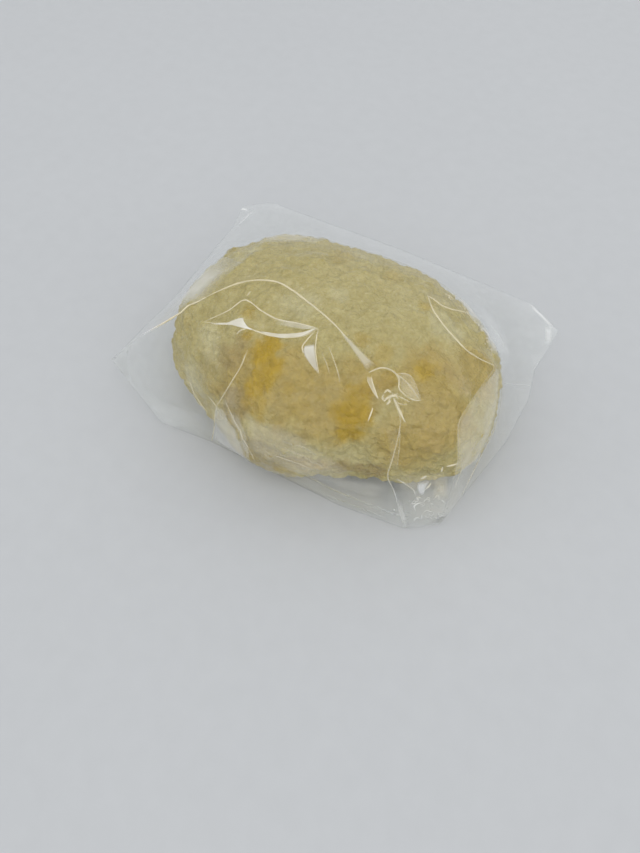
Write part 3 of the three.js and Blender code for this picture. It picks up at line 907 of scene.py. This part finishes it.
class Nodes:  # a small helper for building a material's nodes
    def __init__(self, tree):
        self.tree = tree

    def add(self, kind, inputs=None, **settings):
        node = self.tree.nodes.new(kind)
        for name, value in settings.items():
            setattr(node, name, value)
        for name, value in (inputs or {}).items():
            if isinstance(value, bpy.types.NodeSocket):
                self.tree.links.new(value, node.inputs[name])
            else:
                node.inputs[name].default_value = value
        return node

    def math(self, kind, *values):
        return self.add("ShaderNodeMath", dict(enumerate(values)), operation=kind).outputs[0]

    def mix(self, share, a, b):
        return self.add("ShaderNodeMix", {0: share, 6: a, 7: b}, data_type="RGBA").outputs[2]

    def share(self, name):
        return self.add("ShaderNodeAttribute", attribute_name=name).outputs["Fac"]

    def noise(self, place, size, detail=2.0):  # size in millimetres
        return self.add("ShaderNodeTexNoise", {"Vector": place, "Scale": 1 / (size * mm), "Detail": detail})

    def cells(self, place, size):
        return self.add("ShaderNodeTexVoronoi", {"Vector": place, "Scale": 1 / (size * mm)})


def newMaterial(name):
    made = bpy.data.materials.new(name)
    made.use_nodes = True
    made.node_tree.nodes.clear()
    return made, Nodes(made.node_tree)


doughLook = {
    "dark": (0.374, 0.303, 0.096, 1),
    "light": (0.562, 0.486, 0.218, 1),
    "fleck": (0.675, 0.618, 0.405, 1),
    "amber": (0.45, 0.29, 0.0, 1),
    "warm": (0.432, 0.31, 0.074, 1),
    # The colour of the painted shade patches.
    "shade": (0.328, 0.241, 0.087, 1),
    # Paler dough, and the painted sheen of the film over it.
    "paleAndSheen": (0.55, 0.502, 0.289, 1),
    "rosy": (0.521, 0.386, 0.212, 1),
    "grains": (1.1, 0.5),  # sizes of the coarse and the fine ones
    "grainTones": (0.35, 0.35),  # how much each kind shows in the colour
    "grainDepths": (-0.9, -0.45),  # and in the relief
    "mottling": (2.4, 0.9, 0.3),  # size of the soft unevenness, and its part in colour and relief
    "toneShift": -0.2,
    "wander": (1.6, 0.0003),  # size and reach, in metres, of the bends in the grains' rims
    "fleckSize": 0.9,
    "flecks": {"From Min": 0.62, "From Max": 0.7, "To Max": 0.3},
    "patchTones": (0.75, 1.2),  # a patch's colour between its darkest and its lightest grains
    "relief": {"Strength": 0.7, "Distance": 0.00055},
    "surface": {"Roughness": 0.45, "IOR": 1.42, "Subsurface Weight": 0.15,
                "Subsurface Radius": (1.0, 0.75, 0.35), "Subsurface Scale": 0.0015},
}


def doughMaterial():
    made, n = newMaterial("dough")
    place = n.add("ShaderNodeTexCoord").outputs["Object"]
    wanderSize, wanderReach = doughLook["wander"]
    wander = n.noise(place, wanderSize).outputs["Color"]
    place = n.add("ShaderNodeVectorMath", {0: wander, 1: [wanderReach] * 3, 2: place},
                  operation="MULTIPLY_ADD").outputs[0]
    mottling, softTone, softHeight = doughLook["mottling"]
    soft = n.noise(place, mottling, detail=5.0).outputs["Fac"]
    tone, height = doughLook["toneShift"], n.math("MULTIPLY", soft, softHeight)
    for size, share, depth in zip(doughLook["grains"], doughLook["grainTones"], doughLook["grainDepths"]):
        grains = n.cells(place, size)
        tone = n.math("MULTIPLY_ADD", grains.outputs["Color"], share, tone)
        height = n.math("MULTIPLY_ADD", grains.outputs["Distance"], depth, height)
    tone = n.math("MULTIPLY_ADD", soft, softTone, tone)
    colour = n.mix(tone, doughLook["dark"], doughLook["light"])
    spots = n.noise(place, doughLook["fleckSize"], detail=3.0).outputs["Fac"]
    flecks = n.add("ShaderNodeMapRange", {"Value": spots, **doughLook["flecks"]}).outputs[0]
    colour = n.mix(flecks, colour, doughLook["fleck"])
    for name in ("paleAndSheen", "rosy", "warm", "shade", "amber"):  # shade lies under amber
        flat = doughLook[name][:3]
        deep, bright = ([part * level for part in flat] + [1] for level in doughLook["patchTones"])
        colour = n.mix(n.share(name), colour, n.mix(tone, deep, bright))
    bump = n.add("ShaderNodeBump", {"Height": height, **doughLook["relief"]}).outputs["Normal"]
    shader = n.add("ShaderNodeBsdfPrincipled",
                   {"Base Color": colour, "Normal": bump, **doughLook["surface"]})
    n.add("ShaderNodeOutputMaterial", {"Surface": shader.outputs[0]})
    return made


filmLook = {
    "clear": (0.995, 0.998, 0.995, 1),
    "shine": (0.97, 0.98, 1.0, 1),
    "shineRoughness": 0.09,
    "gloss": 1.2,  # both faces of the sheet reflect
    "facing": 0.02,  # what it reflects seen straight on
    "glossPower": 5.0,
    "most": 0.16,
    "milk": (0.87, 0.88, 0.88, 1),
    "cream": (0.92, 0.83, 0.59, 1),  # milky film with dough under it
    "milkRoughness": 0.4,
    "rim": 0.15,  # how much milkier it looks edge-on
    "rimPower": 4.0,
    "edgeTint": (0.935, 0.94, 0.945, 1),  # of the seam, a thin grey line
    "shading": 0.35,  # how much of its shine and milk dims the light that falls through it
    "ripples": 5.0,
    "relief": {"Strength": 0.3, "Distance": 0.001},
}


def filmMaterial(name, tint, rim):
    made, n = newMaterial(name)
    direct = n.add("ShaderNodeLightPath").outputs["Is Camera Ray"]
    counted = n.math("MULTIPLY_ADD", direct, 1 - filmLook["shading"], filmLook["shading"])
    edgeOn = n.add("ShaderNodeLayerWeight", {"Blend": 0.5}).outputs["Facing"]
    grazing = n.math("POWER", edgeOn, filmLook["glossPower"])
    rise = n.math("MULTIPLY_ADD", grazing, 1 - filmLook["facing"], filmLook["facing"])
    reflected = n.math("MINIMUM", n.math("MULTIPLY", rise, filmLook["gloss"]), filmLook["most"])
    reflected = n.math("MULTIPLY", reflected, counted)
    place = n.add("ShaderNodeTexCoord").outputs["Object"]
    ripple = n.noise(place, filmLook["ripples"], detail=3.0).outputs["Fac"]
    bump = n.add("ShaderNodeBump", {"Height": ripple, **filmLook["relief"]}).outputs["Normal"]
    clear = n.add("ShaderNodeBsdfTransparent", {"Color": tint}).outputs[0]
    gloss = n.add("ShaderNodeBsdfPrincipled", {
        "Base Color": filmLook["shine"], "Metallic": 1.0, "Roughness": filmLook["shineRoughness"],
        "Normal": bump}).outputs[0]
    milky = n.mix(n.share("cream"), filmLook["milk"], filmLook["cream"])
    milk = n.add("ShaderNodeBsdfPrincipled", {
        "Base Color": milky, "Roughness": filmLook["milkRoughness"], "Normal": bump}).outputs[0]
    sheen = n.add("ShaderNodeMixShader", {0: reflected, 1: clear, 2: gloss}).outputs[0]
    # The haze share holds the film's own milkiness and also the painted highlights and painted light of the
    # creases and panes.
    haze = n.math("MULTIPLY_ADD", n.math("POWER", edgeOn, filmLook["rimPower"]), rim, n.share("haze"))
    haze = n.math("MULTIPLY", haze, counted)
    surface = n.add("ShaderNodeMixShader", {0: haze, 1: sheen, 2: milk}).outputs[0]
    n.add("ShaderNodeOutputMaterial", {"Surface": surface})
    return made


# The floor that the bag lies on.
floor = {
    "size": 4000,
    "colour": (0.60, 0.615, 0.635),
    "roughness": 0.7,
    "clouds": 80,  # sizes of its soft blotches and of its fibres
    "fibres": 4,
    "cloudTones": {"To Min": 0.93, "To Max": 0.97},
    "fibreTone": 0.06,
}


def floorMaterial():
    made, n = newMaterial("table")
    place = n.add("ShaderNodeTexCoord").outputs["Object"]
    soft = n.noise(place, floor["clouds"], detail=3.0).outputs["Fac"]
    tone = n.add("ShaderNodeMapRange", {"Value": soft, **floor["cloudTones"]}).outputs[0]
    fibres = n.noise(place, floor["fibres"], detail=8.0).outputs["Fac"]
    tone = n.math("MULTIPLY_ADD", fibres, floor["fibreTone"], tone)
    colour = n.mix(tone, (0, 0, 0, 1), (*floor["colour"], 1))
    shader = n.add("ShaderNodeBsdfPrincipled", {"Base Color": colour, "Roughness": floor["roughness"]})
    n.add("ShaderNodeOutputMaterial", {"Surface": shader.outputs[0]})
    return made


def makeFloor():
    bpy.ops.mesh.primitive_plane_add(size=floor["size"] * mm)
    made = activeAs("floor")
    made.data.materials.append(floorMaterial())


studio = {
    "air": (0.95, 0.975, 1.0, 1),
    "horizon": 0.50,
    "zenith": 0.575,
    "rising": {"From Min": -0.1, "From Max": 0.9},  # from the one to the other
    "softboxes": {  # place, width and height, watts, colour: all face the bag
        "ceiling": ((-0.2, 1.3, 1.3), (1.6, 1.6), 3.6, (1.0, 0.99, 0.97)),
        "fillLeft": ((-0.9, -0.75, 1.2), (2.4, 1.8), 7.2, (1.0, 0.99, 0.97)),
        "fillRight": ((1.0, -0.55, 1.2), (2.4, 1.8), 10.2, (1.0, 0.99, 0.97)),
        "lamp": ((0.6, 0.75, 0.85), (0.5, 0.5), 0.8, (1.0, 0.98, 0.93)),
    },
}


def addSoftbox(name, spot, size, power, colour):
    light = bpy.data.lights.new(name, "AREA")
    light.shape = "RECTANGLE"
    light.size, light.size_y = size
    light.energy = power
    light.color = colour
    made = bpy.data.objects.new(name, light)
    bpy.context.collection.objects.link(made)
    made.location = spot
    made.rotation_euler = (-Vector(spot)).to_track_quat("-Z", "Y").to_euler()


def lightScene():
    world = bpy.data.worlds.new("studio")
    world.use_nodes = True
    n = Nodes(world.node_tree)
    way = n.add("ShaderNodeTexCoord").outputs["Generated"]
    upward = n.add("ShaderNodeSeparateXYZ", {0: way}).outputs["Z"]
    tone = n.add("ShaderNodeMapRange", {"Value": upward, **studio["rising"], "To Min": studio["horizon"],
                                        "To Max": studio["zenith"]}).outputs[0]
    backdrop = world.node_tree.nodes["Background"]
    backdrop.inputs["Color"].default_value = studio["air"]
    world.node_tree.links.new(tone, backdrop.inputs["Strength"])
    bpy.context.scene.world = world
    for name, light in studio["softboxes"].items():
        addSoftbox(name, *light)


camera = {
    "spot": (45.93, -80.69, 113.67),
    "aim": (-0.281, 0.467, -0.839),
    "lens": 28.07,
    "sensor": 36,  # along the picture's longer side
    "nearest": 5,  # closer than this nothing is drawn
}


def placeCamera():
    lens = bpy.data.cameras.new("camera")
    lens.lens = camera["lens"]
    lens.sensor_width = camera["sensor"]
    lens.clip_start = camera["nearest"] * mm
    made = bpy.data.objects.new("camera", lens)
    bpy.context.collection.objects.link(made)
    made.location = toFrame(camera["spot"])
    made.rotation_euler = Vector(camera["aim"]).to_track_quat("-Z", "Y").to_euler()
    bpy.context.scene.camera = made


def dress(piece, material):
    piece.data.materials.append(material)
    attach(piece, "root")
    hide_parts("film_bag")


bpy.ops.object.select_all(action="DESELECT")
bpy.context.scene.view_settings.view_transform = "Standard"
placeCamera()
lightScene()
makeFloor()
print("camera, lights and floor placed")
lump = makeDumpling()
dress(lump, doughMaterial())
print("dumpling shaped")
clearFilm = filmMaterial("film", filmLook["clear"], filmLook["rim"])
seamFilm = filmMaterial("seam", filmLook["edgeTint"], 0.0)
over = makeFilmUpper(lump)
dress(over, clearFilm)
print("upper film settled")
dress(makeCreases(over), clearFilm)
dress(makePaintedLightPanes(over), clearFilm)
dress(makeSeam(), seamFilm)
print("creases, panes and seam drawn")
dress(makeFilmLower(), clearFilm)
print("lower film laid")
